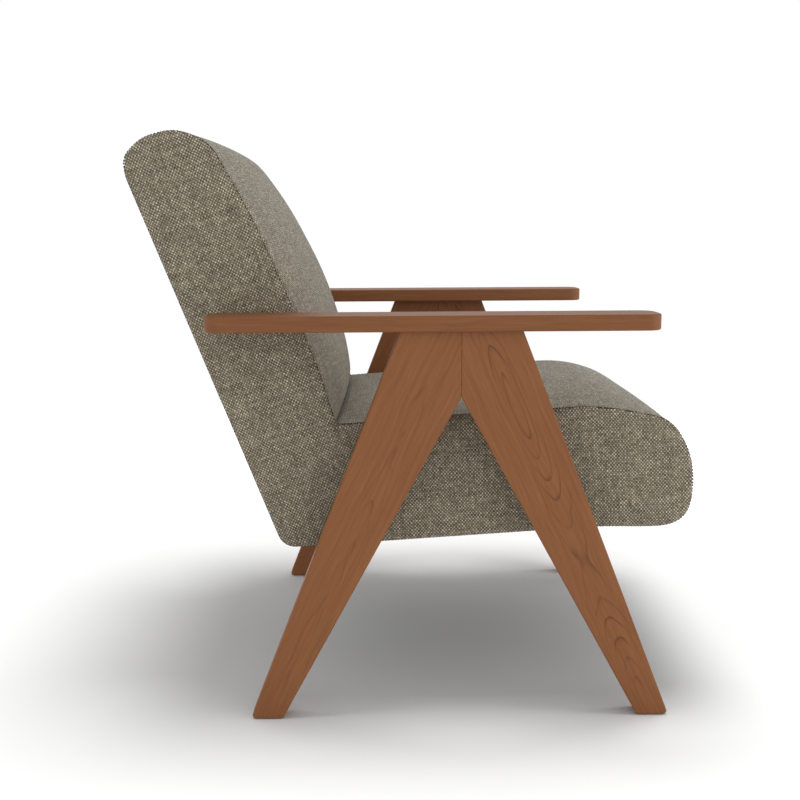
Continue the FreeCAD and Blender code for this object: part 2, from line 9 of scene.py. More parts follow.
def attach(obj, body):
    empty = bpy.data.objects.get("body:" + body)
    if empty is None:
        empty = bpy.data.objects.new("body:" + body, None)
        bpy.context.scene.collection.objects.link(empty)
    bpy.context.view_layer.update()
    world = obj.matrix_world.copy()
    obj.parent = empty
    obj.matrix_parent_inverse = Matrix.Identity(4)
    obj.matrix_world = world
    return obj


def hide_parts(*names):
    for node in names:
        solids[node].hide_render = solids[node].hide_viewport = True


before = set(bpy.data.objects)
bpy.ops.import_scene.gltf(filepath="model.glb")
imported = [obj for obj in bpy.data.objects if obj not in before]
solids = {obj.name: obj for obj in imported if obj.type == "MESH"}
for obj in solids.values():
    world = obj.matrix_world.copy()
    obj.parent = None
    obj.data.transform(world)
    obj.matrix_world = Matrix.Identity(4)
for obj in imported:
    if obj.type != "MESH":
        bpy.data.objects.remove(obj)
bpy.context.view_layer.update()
bpy.ops.object.select_all(action="DESELECT")

# Timber frame of the body: birch plywood side boards, softwood rails and glue
# blocks, and a hardboard panel that closes the back. Raw sawn faces, glued and
# screwed, and hidden once the covers are on.


def new_finish(name, roughness, **fixed):
    """A finish with its surface shader, whose even values sit on the shader."""
    finish = bpy.data.materials.new(name)
    finish.use_nodes = True
    shader = finish.node_tree.nodes["Principled BSDF"]
    shader.inputs["Roughness"].default_value = roughness
    for socket, value in fixed.items():
        shader.inputs[socket.replace("_", " ")].default_value = value
    return finish, finish.node_tree, shader


def step(tree, kind, wires=None, **settings):
    """One node of a finish, with its settings and what runs into it."""
    made = tree.nodes.new("ShaderNode" + kind)
    for key, value in settings.items():
        setattr(made, key, value)
    for key, value in (wires or {}).items():
        if isinstance(value, bpy.types.NodeSocket):
            tree.links.new(value, made.inputs[key])
        else:
            made.inputs[key].default_value = value
    return made


def sums(tree, operation, *values):
    return step(tree, "Math", dict(enumerate(values)), operation=operation).outputs[0]


def tint(tree, share, first, second, how="MIX"):
    """A colour between two, or one laid over the other."""
    wires = {0: share, 6: first, 7: second}
    return step(tree, "Mix", wires, data_type="RGBA", blend_type=how).outputs[2]


def spread(tree, value, low, high, bottom=0.0, top=1.0):
    """Draws out the part of a pattern between two levels."""
    wires = {"Value": value, "From Min": low, "From Max": high, "To Min": bottom, "To Max": top}
    return step(tree, "MapRange", wires).outputs["Result"]


def mottle(tree, place, scale, detail=3.0, roughness=0.5, **settings):
    wires = {"Vector": place, "Scale": scale, "Detail": detail, "Roughness": roughness}
    return step(tree, "TexNoise", wires, **settings).outputs["Fac"]


def drawn_out(tree, place, scale):
    """Coordinates that are longer or shorter along each way."""
    return step(tree, "Mapping", {"Vector": place, "Scale": scale}).outputs["Vector"]


def object_place(tree, scale=(1, 1, 1)):
    """The piece's own coordinates, drawn out."""
    return drawn_out(tree, step(tree, "TexCoord").outputs["Object"], scale)


def rough_up(tree, shader, height, depth, strength=1.0):
    """Gives a surface its relief, with a depth in metres."""
    bump = step(tree, "Bump", {"Height": height, "Distance": depth, "Strength": strength})
    tree.links.new(bump.outputs["Normal"], shader.inputs["Normal"])


def dress(names, finish):
    for name in names:
        slots = solids[name].data.materials
        slots.clear()
        slots.append(finish)


def raw_timber(name, pale, dark, stretch, fineness):
    finish, tree, shader = new_finish(name, 0.75)
    place = object_place(tree, stretch)
    grain = mottle(tree, place, fineness, 5.0, 0.6, noise_dimensions="3D")
    broad = mottle(tree, object_place(tree), 14.0, 2.0)
    share = sums(tree, "ADD", spread(tree, grain, 0.35, 0.65, 0.0, 0.8),
                 spread(tree, broad, 0.3, 0.7, 0.0, 0.25))
    tree.links.new(tint(tree, share, pale, dark), shader.inputs["Base Color"])
    rough_up(tree, shader, grain, 0.0003)
    return finish


dress(["side_board_left", "side_board_right", "corner_blocks"],
      raw_timber("raw_plywood", (0.60, 0.43, 0.25, 1), (0.42, 0.27, 0.14, 1), (9, 1, 0.15), 90))
dress(["front_seat_rail", "rear_seat_rail", "lower_back_rail", "top_back_rail"],
      raw_timber("raw_softwood", (0.66, 0.47, 0.27, 1), (0.45, 0.27, 0.13, 1), (0.05, 1, 1), 120))
dress(["outer_back_panel"],
      raw_timber("raw_hardboard", (0.20, 0.11, 0.05, 1), (0.12, 0.065, 0.03, 1), (1, 1, 1), 700))

# Springs, screws and bolts: zigzag seat springs in clips, countersunk rail
# screws, staples, and the bolts, washers and threaded inserts that hold the
# legs. Drawn and turned steel, zinc plated.


def zinc_plate(name):
    finish, tree, shader = new_finish(name, 0.34, Metallic=1.0)
    cloud = mottle(tree, object_place(tree), 240.0, 3.0)
    tone = tint(tree, cloud, (0.44, 0.45, 0.47, 1), (0.62, 0.62, 0.60, 1))
    tree.links.new(tone, shader.inputs["Base Color"])
    tree.links.new(spread(tree, cloud, 0.2, 0.8, 0.26, 0.46), shader.inputs["Roughness"])
    rough_up(tree, shader, cloud, 0.00004)
    return finish


dress(["seat_springs", "spring_clips", "rail_screws", "leg_bolts", "leg_bolt_washers",
       "leg_inserts", "dust_cover_staples"], zinc_plate("zinc_plated_steel"))

# Back straps and spring felt: woven elastic straps stretched across the back
# between the side boards, and a sheet of needled felt that keeps the seat foam
# off the springs.


def fibre_mat(name, pale, dark, stretch, fineness):
    finish, tree, shader = new_finish(name, 0.95)
    fibres = mottle(tree, object_place(tree, stretch), fineness, 6.0, 0.7)
    tone = tint(tree, spread(tree, fibres, 0.35, 0.65), pale, dark)
    tree.links.new(tone, shader.inputs["Base Color"])
    rough_up(tree, shader, fibres, 0.0008)
    return finish


dress(["back_straps"],
      fibre_mat("elastic_webbing", (0.07, 0.06, 0.05, 1), (0.03, 0.026, 0.02, 1), (0.3, 2, 2), 500))
dress(["spring_felt"],
      fibre_mat("needled_felt", (0.30, 0.27, 0.24, 1), (0.14, 0.13, 0.12, 1), (1, 1, 1), 420))

# Seat cushion: one thick crowned block of foam under a coarse plain-weave
# tweed, which runs from the crease over the nose and under the front, and is
# sewn to the side covers along both edges.
seam_side = 0.2568                  # half the width between the side seams
seam_step = 0.001                   # how far apart the points along that seam lie
warp_pitch, weft_pitch = 0.00236, 0.00268
warp_yarn = ((0.275, 0.250, 0.196, 1), (0.565, 0.525, 0.432, 1))
weft_yarn = ((0.080, 0.059, 0.034, 1), (0.262, 0.216, 0.147, 1))
thread_sways = ((22.0, 2.2), (110.0, 0.5))   # how finely the threads sway, and by how many pitches
yarn_apart, yarn_change = 7.31, 0.13   # how far apart two yarns read their tone, and how fast it changes
slubs = (((1, 1, 1), 0.14), ((0.11, 0.9, 1), 0.18), ((0.9, 0.13, 1), 0.11))   # how drawn out, and how deep


def swayed(tree, place, field, scale, detail, amount):
    """A place moved about by a slow noise, which is read from another place."""
    noise = step(tree, "TexNoise", {"Vector": field, "Scale": scale, "Detail": detail}).outputs["Color"]
    about = step(tree, "VectorMath", {0: noise, 1: (0.5, 0.5, 0.5)}, operation="SUBTRACT").outputs[0]
    move = step(tree, "VectorMath", {0: about, "Scale": amount}, operation="SCALE").outputs[0]
    return step(tree, "VectorMath", {0: place, 1: move}, operation="ADD").outputs[0]


def weave_place(tree):
    """Where a point lies on the cut cloth, counted in threads that sway a little."""
    cloth = step(tree, "UVMap", uv_map="cut_cloth").outputs["UV"]
    threads = step(tree, "VectorMath", {0: cloth, 1: (1 / warp_pitch, 1 / weft_pitch, 0)},
                   operation="MULTIPLY")
    place = threads.outputs[0]
    for scale, sway in thread_sways:
        place = swayed(tree, place, cloth, scale, 1.0, sway)
    parts = step(tree, "SeparateXYZ", {0: place})
    return cloth, parts.outputs["X"], parts.outputs["Y"]


def tweed(name):
    """Light warp over darker weft, with slubs, a heather of warm and cool tones, and painted shade in the
    hollows between the yarns.
    """
    finish, tree, shader = new_finish(name, 0.9, Sheen_Weight=0.25, Sheen_Roughness=0.5,
                                      Specular_IOR_Level=0.2)
    cloth, across, along = weave_place(tree)
    warp_number = sums(tree, "FLOOR", across)
    weft_number = sums(tree, "FLOOR", along)
    warp_round = sums(tree, "SINE", sums(tree, "MULTIPLY", sums(tree, "FRACT", across), math.pi))
    weft_round = sums(tree, "SINE", sums(tree, "MULTIPLY", sums(tree, "FRACT", along), math.pi))
    over = sums(tree, "FLOORED_MODULO", sums(tree, "ADD", warp_number, weft_number), 2.0)

    def yarn_tone(number, run, seed):
        """How light one yarn is, slowly changing along it."""
        place = step(tree, "CombineXYZ", {"X": sums(tree, "MULTIPLY", number, yarn_apart),
                                          "Y": sums(tree, "MULTIPLY", run, yarn_change), "Z": seed})
        return mottle(tree, place.outputs[0], 1.0, 3.0, 0.7)

    warp_tone = yarn_tone(warp_number, along, 3.7)
    weft_tone = yarn_tone(weft_number, across, 11.3)
    warp_colour = tint(tree, spread(tree, warp_tone, 0.3, 0.7), *warp_yarn)
    weft_colour = tint(tree, spread(tree, weft_tone, 0.3, 0.7), *weft_yarn)
    colour = tint(tree, over, warp_colour, weft_colour)

    cell = step(tree, "CombineXYZ", {"X": warp_number, "Y": weft_number}).outputs[0]
    fleck = step(tree, "TexWhiteNoise", {"Vector": cell}, noise_dimensions="2D").outputs["Value"]
    colour = tint(tree, 1.0, colour, spread(tree, fleck, 0.0, 1.0, 0.72, 1.28), "MULTIPLY")
    # The hollows between the yarns are darkened down to 0.30 as painted shade; the same relief also bumps the
    # surface.
    hollow = sums(tree, "MULTIPLY", sums(tree, "POWER", warp_round, 0.5),
                  sums(tree, "POWER", weft_round, 0.5))
    painted_shade = spread(tree, hollow, 0.0, 0.8, 0.30, 1.0)
    colour = tint(tree, 1.0, colour, painted_shade, "MULTIPLY")

    patch = mottle(tree, cloth, 150.0, 3.0, 0.6)
    heather = tint(tree, spread(tree, patch, 0.3, 0.7), (1.07, 1.0, 0.90, 1), (0.97, 1.0, 1.0, 1))
    colour = tint(tree, 1.0, colour, heather, "MULTIPLY")
    for scale, depth in slubs:
        slub = mottle(tree, drawn_out(tree, cloth, scale), 230.0, 2.0, 0.5)
        colour = tint(tree, 1.0, colour, spread(tree, slub, 0.28, 0.72, 1 - depth, 1 + depth), "MULTIPLY")
    tree.links.new(colour, shader.inputs["Base Color"])
    rough_up(tree, shader, hollow, 0.0006, 0.6)
    return finish


cover_tweed = tweed("cover_tweed")


def new_piece(name, mesh):
    piece = bpy.data.objects.new(name, mesh)
    bpy.context.scene.collection.objects.link(piece)
    return piece


def pick(*pieces):
    """Makes these pieces the only ones that an operator acts on, the first as the active one."""
    bpy.ops.object.select_all(action="DESELECT")
    for piece in pieces:
        piece.select_set(True)
    bpy.context.view_layer.objects.active = pieces[0]


def joined_copy(name, parts):
    """A closed copy of some solids as one mesh."""
    copies = [new_piece(name, solids[part].data.copy()) for part in parts]
    pick(*reversed(copies))
    if len(parts) > 1:
        bpy.ops.object.join()
    piece = bpy.context.object
    piece.name = name
    bpy.ops.object.mode_set(mode="EDIT")
    bpy.ops.mesh.select_all(action="SELECT")
    bpy.ops.mesh.remove_doubles(threshold=0.00002)
    bpy.ops.object.mode_set(mode="OBJECT")
    piece.data.materials.clear()
    piece.data.materials.append(cover_tweed)
    return piece


def mesh_points(mesh):
    points = np.empty(len(mesh.vertices) * 3)
    mesh.vertices.foreach_get("co", points)
    return points.reshape(-1, 3)


def mesh_normals(mesh):
    normals = np.empty(len(mesh.vertices) * 3)
    mesh.vertices.foreach_get("normal", normals)
    return normals.reshape(-1, 3)


def move_points(mesh, points):
    mesh.vertices.foreach_set("co", points.ravel())
    mesh.update()


def ease(share):
    share = np.clip(share, 0, 1)
    return share * share * (3 - 2 * share)


def even_out(mesh, values, rounds):
    """Averages a value over each point's neighbours, a few times."""
    edges = np.empty(len(mesh.edges) * 2, dtype=np.int64)
    mesh.edges.foreach_get("vertices", edges)
    first, second = edges.reshape(-1, 2).T
    count = np.bincount(edges, minlength=len(values))
    for _ in range(rounds):
        total = np.bincount(first, values[second], len(values))
        total += np.bincount(second, values[first], len(values))
        values = (values + total) / (1 + count)
    return values


def apply_modifier(piece, kind, **settings):
    pick(piece)
    modifier = piece.modifiers.new(kind.lower(), kind)
    for key, value in settings.items():
        setattr(modifier, key, value)
    bpy.ops.object.modifier_apply(modifier=modifier.name)


# A swelling pad presses against all that isn't soft.
soft_parts = {"seat_cover", "seat_foam", "inside_back_cover", "back_foam", "outside_back_cover",
              "outer_back_pad", "side_cover_left", "side_cover_right", "side_pad_left", "side_pad_right"}


def surface(*meshes):
    """Some meshes as one thing that a ray can meet."""
    corners, faces = [], []
    for mesh in meshes:
        start = len(corners)
        corners.extend(tuple(v.co) for v in mesh.vertices)
        faces.extend(tuple(i + start for i in face.vertices) for face in mesh.polygons)
    return BVHTree.FromPolygons(corners, faces)


def solid_wall(parts):
    return surface(*[solids[part].data for part in parts])


wall = solid_wall(name for name in solids if name not in soft_parts)
ray_start = 0.0006                  # how far off the skin a ray sets out


def in_the_open(piece, wall, reach=0.02):
    """1 where nothing stands close in front of a point, or else 0."""
    points, normals = mesh_points(piece.data), mesh_normals(piece.data)
    free = np.ones(len(points))
    for number, (point, normal) in enumerate(zip(points, normals)):
        if wall.ray_cast(Vector(point + normal * ray_start), Vector(normal), reach)[0] is not None:
            free[number] = 0
    return free


held_below = 0.04                   # a point with less freedom than this stays where it is
blend_rounds, fill_rounds = 12, 4
swelling_pressure, swelling_frames = 4.0, 20


def softened(piece, freedom):
    """Lets the freedom fade in beside the held points, and adds none."""
    return np.minimum(freedom, even_out(piece.data, freedom, blend_rounds))


def fill_out(piece, form, freedom):
    """Brings back out what the cloth drew in below the form that it is cut to."""
    points, normals = mesh_points(piece.data), mesh_normals(piece.data)
    lack = np.zeros(len(points))
    for number in np.flatnonzero(freedom > held_below):
        place = form.find_nearest(Vector(points[number]))[0]
        lack[number] = max(0.0, float(np.dot(np.array(place) - points[number], normals[number])))
    lack = even_out(piece.data, lack, fill_rounds) * freedom
    move_points(piece.data, points + normals * lack[:, None])


def stuff(piece, freedom, sink, cap):
    """Draws the free skin in a little, then lets it swell again as cloth round its filling."""
    form = surface(piece.data)
    start = mesh_points(piece.data) - mesh_normals(piece.data) * (sink * freedom)[:, None]
    move_points(piece.data, start)
    held = piece.vertex_groups.new(name="held")
    held.add([int(i) for i in np.flatnonzero(freedom < held_below)], 1.0, "REPLACE")
    cloth = piece.modifiers.new("swelling", "CLOTH")
    cloth.settings.quality = 5
    cloth.settings.use_pressure = True
    cloth.settings.uniform_pressure_force = swelling_pressure
    cloth.settings.effector_weights.gravity = 0.0
    cloth.settings.vertex_group_mass = "held"
    cloth.collision_settings.use_collision = False
    cloth.point_cache.frame_start = 1
    cloth.point_cache.frame_end = swelling_frames
    for moment in range(1, swelling_frames + 1):
        bpy.context.scene.frame_set(moment)
    swollen = piece.evaluated_get(bpy.context.evaluated_depsgraph_get())
    move = mesh_points(swollen.data) - start
    piece.modifiers.remove(cloth)
    piece.vertex_groups.clear()
    length = np.linalg.norm(move, axis=1)
    share = np.minimum(1.0, cap * freedom / np.maximum(length, 1e-9))
    move_points(piece.data, start + move * share[:, None])
    bpy.context.scene.frame_set(1)
    fill_out(piece, form, freedom)


def seam_outline():
    """The side seam's outline, read from the inner face of a side cover.

    Its points run evenly from the rear underside up over the back."""
    cover = joined_copy("outline_copy", ["side_cover_left"])
    mesh = cover.data
    inner = min(v.co.x for v in mesh.vertices)
    flat = {face.index for face in mesh.polygons
            if all(abs(mesh.vertices[i].co.x - inner) < 1e-5 for i in face.vertices)}
    count = {}
    for index in flat:
        for edge in mesh.polygons[index].edge_keys:
            count[edge] = count.get(edge, 0) + 1
    neighbours = {}
    for (a, b), times in count.items():
        if times == 1:
            neighbours.setdefault(a, []).append(b)
            neighbours.setdefault(b, []).append(a)
    first = min(neighbours, key=lambda i: (mesh.vertices[i].co.z, mesh.vertices[i].co.y))
    loop, last = [first], None
    while True:
        onward = [i for i in neighbours[loop[-1]] if i != last]
        last = loop[-1]
        if onward[0] == first:
            break
        loop.append(onward[0])
    points = np.array([[mesh.vertices[i].co.y, mesh.vertices[i].co.z] for i in loop])
    bpy.data.objects.remove(cover)
    turn = np.sum(points[:, 0] * np.roll(points[:, 1], -1) - np.roll(points[:, 0], -1) * points[:, 1])
    if turn < 0:
        points = points[::-1]
    closed = np.vstack([points, points[:1]])
    reach = np.concatenate([[0], np.cumsum(np.linalg.norm(np.diff(closed, axis=0), axis=1))])
    even = np.arange(0, reach[-1], seam_step)
    return np.stack([np.interp(even, reach, closed[:, k]) for k in (0, 1)], axis=1)


seam_line = seam_outline()
seam_tree = kdtree.KDTree(len(seam_line))
for number, (y, z) in enumerate(seam_line):
    seam_tree.insert((0, y, z), number)
seam_tree.balance()
seam_way = np.roll(seam_line, -2, axis=0) - np.roll(seam_line, 2, axis=0)
seam_way /= np.linalg.norm(seam_way, axis=1)[:, None]


def along_seam(points):
    """How far along the outline each point lies, how far inside it, and which way is out."""
    nearest = np.array([seam_tree.find((0, y, z))[1] for _, y, z in points])
    offset = points[:, 1:] - seam_line[nearest]
    ahead = seam_way[nearest]
    outward = np.stack([ahead[:, 1], -ahead[:, 0]], axis=1)
    run = nearest * seam_step + np.sum(offset * ahead, axis=1)
    return run, -np.sum(offset * outward, axis=1), outward


# The nose's covers turn under in one even curve, from its face to its foot.
nose_face = seam_tree.find((0, -0.4037, 0.3170))[1]
nose_foot = seam_tree.find((0, -0.3400, 0.2607))[1]
nose_drop, nose_return, nose_fullness = 0.0018, 0.07, 0.73
nose_fade = 0.04                    # how far in from the outline the move dies out
nose_swell = 0.006                  # how far the cover may stand out there at the middle


def nose_shift():
    """How each place on the outline moves for that curve."""
    first, last = nose_face, nose_foot
    face, foot = seam_line[first], seam_line[last] - (0, nose_drop)
    corner = np.array([face[0], foot[1]])
    share = np.linspace(0, 1, 400)[:, None]
    curve = (face * (1 - share) ** 3 + foot * share ** 3
             + 3 * (1 - share) ** 2 * share * (face + (corner - face) * nose_fullness)
             + 3 * (1 - share) * share ** 2 * (foot + (corner - foot) * nose_fullness))
    reach = np.concatenate([[0], np.cumsum(np.linalg.norm(np.diff(curve, axis=0), axis=1))])
    even = np.linspace(0, reach[-1], last - first + 1)
    shift = np.zeros_like(seam_line)
    for axis in (0, 1):
        shift[first:last + 1, axis] = np.interp(even, reach, curve[:, axis])
        shift[first:last + 1, axis] -= seam_line[first:last + 1, axis]
    onward = np.arange(last + 1, len(seam_line))
    shift[onward, 1] = -nose_drop * (1 - ease((onward - last) * seam_step / nose_return))
    return shift


outline_shift = nose_shift()


def round_nose(points):
    """Moves the points near the nose's underside along with the outline."""
    run, inside, _ = along_seam(points)
    places = np.arange(len(seam_line)) * seam_step
    share = 1 - ease(inside / nose_fade)
    for axis in (0, 1):
        points[:, axis + 1] += np.interp(run, places, outline_shift[:, axis]) * share
    return points


def hold_nose(points):
    """Keeps the nose's underside from standing out past the panels at its sides."""
    run, inside, outward = along_seam(points)
    room = nose_swell * (1 - np.clip(np.abs(points[:, 0]) / seam_side, 0, 1) ** 3)
    here = (run > nose_face * seam_step) & (run < nose_foot * seam_step)
    excess = np.where(here, np.clip(-inside - room, 0, None), 0)
    points[:, 1:] -= outward * excess[:, None]
    return points


def crisp_edge(points, reach, where):
    """Draws an edge that the remeshing rounded off back out to the seam."""
    _, inside, outward = along_seam(points)
    near = where & (inside > 0) & (inside < reach)
    push = inside * (1 - ease(inside / reach))
    points[near, 1:] += (outward * push[:, None])[near]
    return points


def corner_points(mesh):
    """Which point each corner of each face stands on."""
    corners = np.empty(len(mesh.loops), dtype=np.int64)
    mesh.loops.foreach_get("vertex_index", corners)
    return corners


def lay_cloth(piece, places):
    """Stores where each corner of each face lies on the cut cloth, in metres."""
    layer = piece.data.uv_layers.new(name="cut_cloth")
    layer.data.foreach_set("uv", places.astype(np.float32).ravel())


flush = 0.00002                     # points this close to a cover's edge lie on it


def outline_run(part, depth=0.0005):
    """Where along the outline one cover, or the filling just under it, begins and ends."""
    points = mesh_points(solids[part].data)
    run, inside, _ = along_seam(points[np.abs(points[:, 0]) > np.abs(points[:, 0]).max() - flush])
    run = np.sort(run[inside < depth])
    whole = len(seam_line) * seam_step
    gaps = np.diff(np.append(run, run[0] + whole))
    widest = int(np.argmax(gaps))
    first = run[(widest + 1) % len(run)]
    last = run[widest]
    return first, last if last > first else last + whole


cover_thickness = 0.003
sheet_columns, sheet_pitch = 105, 0.005
sheet_margin, row_margin = 0.0001, 0.0002   # how far the sheet stops short of its solid's edges
cast_height = 0.03                  # how far off the solid the sheet is laid down from
tuck_length = 0.014                 # over how much of its length a tucked end sinks in


def cover_sheet(name, part, first, last, tucked=0.0):
    """The outer skin of one cover as an even mesh, laid over its solid between two runs."""
    mesh = solids[part].data
    form = surface(mesh)
    half = max(abs(v.co.x) for v in mesh.vertices) - sheet_margin
    across = np.linspace(-half, half, sheet_columns)
    rows = max(2, round((last - first) / sheet_pitch))
    along = np.linspace(first + row_margin, last - row_margin, rows)
    skin, ways = [], []
    for reach in along:
        at = int(round(reach / seam_step)) % len(seam_line)
        out = Vector((0, seam_way[at][1], -seam_way[at][0]))
        for x in across:
            foot = Vector((x, *seam_line[at]))
            place = form.ray_cast(foot + out * cast_height, -out, 2 * cast_height)[0]
            skin.append(tuple(place or form.find_nearest(foot)[0]))
            ways.append((*out, tucked * (1 - ease((reach - first) / tuck_length))))
    ways = np.array(ways)
    skin = hold_nose(np.array(skin)) - ways[:, :3] * ways[:, 3:]
    lining = skin - ways[:, :3] * cover_thickness
    wide, long = len(across), len(along)
    under = wide * long
    faces = []
    for row in range(long - 1):
        for column in range(wide - 1):
            corner = row * wide + column
            ring = [corner, corner + 1, corner + wide + 1, corner + wide]
            faces += [ring, [under + i for i in reversed(ring)]]
    rim = list(range(wide)) + [row * wide + wide - 1 for row in range(1, long)]
    rim += [under - 1 - column for column in range(1, wide)]
    rim += [row * wide for row in range(long - 2, 0, -1)]
    for number, corner in enumerate(rim):
        onward = rim[(number + 1) % len(rim)]
        faces.append([onward, corner, under + corner, under + onward])
    sheet = bpy.data.meshes.new(name)
    sheet.from_pydata([tuple(place) for place in np.vstack([skin, lining])], [], faces)
    sheet.materials.append(cover_tweed)
    piece = new_piece(name, sheet)
    pick(piece)
    bpy.ops.object.mode_set(mode="EDIT")
    bpy.ops.mesh.select_all(action="SELECT")
    bpy.ops.mesh.normals_make_consistent(inside=False)
    bpy.ops.object.mode_set(mode="OBJECT")
    return piece


skin_depth = 0.006                  # how deep below the outline the cover's own points lie
nose_height = 0.3                   # the turned-under end lies lower than this


def cut_short(piece, first):
    """Takes the turned-under end off a cover's solid, which is too thin to remesh."""
    mesh = bmesh.new()
    mesh.from_mesh(piece.data)
    points = np.array([tuple(v.co) for v in mesh.verts])
    run, inside, _ = along_seam(points)
    turned = (run > first + seam_step) & (inside < skin_depth) & (points[:, 2] < nose_height)
    ends = [corner for corner, gone in zip(mesh.verts, turned) if gone]
    bmesh.ops.delete(mesh, geom=ends, context="VERTS")
    bmesh.ops.holes_fill(mesh, edges=[edge for edge in mesh.edges if edge.is_boundary], sides=0)
    mesh.to_mesh(piece.data)
    mesh.free()


held_edge, free_width = 0.004, 0.045   # where the cloth is held at the seams, and where it is free
crisp_reach, edge_strip = 0.007, 0.012
fold_depth, fold_blend = 0.02, 0.006   # how far the cloth's pattern turns down into the side seams
tuck_back, tuck_depth = 0.020, 0.0025  # where the turned-under end starts inside the cushion


def free_between_seams(points):
    """0 at the two side seams, and 1 well away from them."""
    return ease((seam_side - held_edge - np.abs(points[:, 0])) / free_width)


def crowned_cushion(name, parts, others, turned_under=False):
    """A cushion between the two side seams, swollen at the middle."""
    piece = joined_copy(name, parts)
    if turned_under:
        filled = outline_run(parts[1], skin_depth)[1]
        cut_short(piece, filled)
    apply_modifier(piece, "REMESH", mode="VOXEL", voxel_size=0.006, use_smooth_shade=True)
    freedom = free_between_seams(mesh_points(piece.data))
    freedom *= in_the_open(piece, wall) * in_the_open(piece, solid_wall(others), reach=0.012)
    stuff(piece, softened(piece, freedom), sink=0.003, cap=0.004)
    apply_modifier(piece, "SUBSURF", levels=1, render_levels=1)
    points = mesh_points(piece.data)
    points = crisp_edge(points, crisp_reach, np.abs(points[:, 0]) > seam_side - edge_strip)
    move_points(piece.data, hold_nose(points) if turned_under else points)
    if turned_under:
        end = outline_run(parts[0])[1]
        turn = cover_sheet(name + "_end", parts[0], filled - tuck_back, end, tucked=tuck_depth)
        pick(piece, turn)
        bpy.ops.object.join()
        points = mesh_points(piece.data)
    run, inside, _ = along_seam(points)
    fold = np.clip(inside, 0, fold_depth) * ease((np.abs(points[:, 0]) - seam_side + edge_strip) / fold_blend)
    places = np.stack([points[:, 0] + np.sign(points[:, 0]) * fold, run], axis=1)
    lay_cloth(piece, places[corner_points(piece.data)])
    move_points(piece.data, round_nose(points))
    bpy.ops.object.shade_smooth()
    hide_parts(*parts)
    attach(piece, "root")


crowned_cushion("seat_cushion", ["seat_cover", "seat_foam"], ["back_foam", "inside_back_cover"],
                turned_under=True)

# Back cushion: foam that swells towards the sitter, under the same tweed,
# which runs from the crease up over the crest to the seam at its rear.
crowned_cushion("back_cushion", ["inside_back_cover", "back_foam"], ["seat_foam", "seat_cover"])

# Outside back: a plain panel of the tweed over a thin pad, pulled down from
# the crest seam over the hardboard and tacked under the body.
crest_fade, foot_fade = 0.09, 0.04  # over what length it comes free below the crest and above the foot
run_slack = 0.01                    # how far before its start a point may still lie on it
rear_first, rear_last = outline_run("outside_back_cover")
rear = cover_sheet("outside_back", "outside_back_cover", rear_first, rear_last)
points = mesh_points(rear.data)
run, _, _ = along_seam(points)
run = np.where(run < rear_first - run_slack, run + len(seam_line) * seam_step, run)
ends_free = ease((run - rear_first) / crest_fade) * ease((rear_last - run) / foot_fade)
freedom = free_between_seams(points) * (ends_free * in_the_open(rear, wall))
stuff(rear, softened(rear, freedom), sink=0.002, cap=0.003)
lay_cloth(rear, np.stack([points[:, 0], run], axis=1)[corner_points(rear.data)])
bpy.ops.object.shade_smooth()
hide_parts("outside_back_cover", "outer_back_pad")
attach(rear, "root")

# Side covers: one L-shaped panel of the tweed over a thin pad on each side,
# sewn all round to the other covers. Its cloth lies along the back above and
# along the seat in front, and the two cuts join behind the rear leg.
edge_roll, edge_slope = 0.006, 0.035   # how far in from the seam the edge rounds, and then flattens
roll_share, slope_share = 0.7, 0.3  # how much of the rise each of the two makes
edge_rise, edge_sink = 0.0048, 0.0004   # how far the panel stands out, and starts below its seam
outer_skin, skin_blend = 0.2540, 0.004   # where its outer skin begins, from the chair's middle
panel_hold = 0.05                   # how far in from the seam it is free to swell
face_depth = 0.001                  # what lies this little below the seam still belongs to its face
back_lean = math.radians(18.7)      # how the cloth on the back lies, from plumb
seat_lean = math.radians(2.4)       # how the cloth on the seat lies, from level
join_foot, join_height, join_lean = 0.09, 0.26, 0.42   # where the two cuts join, and how that slopes


def side_panel(name, parts):
    """One padded panel, crisp at the seam and flat in its middle."""
    piece = joined_copy(name, parts)
    apply_modifier(piece, "REMESH", mode="VOXEL", voxel_size=0.005, use_smooth_shade=True)
    points = mesh_points(piece.data)
    _, inside, _ = along_seam(points)
    outer = ease((np.abs(points[:, 0]) - outer_skin) / skin_blend)
    freedom = outer * ease(inside / panel_hold) * in_the_open(piece, wall, reach=0.01)
    stuff(piece, softened(piece, freedom), sink=0.002, cap=0.003)
    apply_modifier(piece, "SUBSURF", levels=1, render_levels=1)
    points = mesh_points(piece.data)
    points = crisp_edge(points, crisp_reach, np.ones(len(points), dtype=bool))
    _, inside, _ = along_seam(points)
    proud = points[:, 0] - seam_side
    shoulder = roll_share * np.sqrt(np.clip(1 - (1 - np.clip(inside / edge_roll, 0, 1)) ** 2, 0, 1))
    shoulder += slope_share * (1 - (1 - np.clip(inside / edge_slope, 0, 1)) ** 2)
    face = proud > -face_depth
    points[face, 0] = seam_side + np.minimum(proud, edge_rise * shoulder - edge_sink)[face]
    move_points(piece.data, round_nose(points))
    return piece


def finish_panel(piece, parts):
    """Lays the two cuts of cloth, and puts the panel in the place of its solids."""
    points = mesh_points(piece.data)
    y, z = points[:, 1], points[:, 2]
    cuts = []
    for lean in (back_lean, seat_lean):
        down = (-math.sin(lean), -math.cos(lean))
        cuts.append(np.stack([y * down[1] - z * down[0], y * down[0] + z * down[1]], axis=1))
    middle = np.empty(len(piece.data.polygons) * 3)
    piece.data.polygons.foreach_get("center", middle)
    middle = middle.reshape(-1, 3)
    sides = np.empty(len(piece.data.polygons), dtype=np.int64)
    piece.data.polygons.foreach_get("loop_total", sides)
    behind = np.repeat(middle[:, 1] > join_foot - (middle[:, 2] - join_height) * join_lean, sides)
    corner = corner_points(piece.data)
    lay_cloth(piece, np.where(behind[:, None], cuts[0][corner], cuts[1][corner]))
    pick(piece)
    bpy.ops.object.shade_smooth()
    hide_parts(*parts)
    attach(piece, "root")


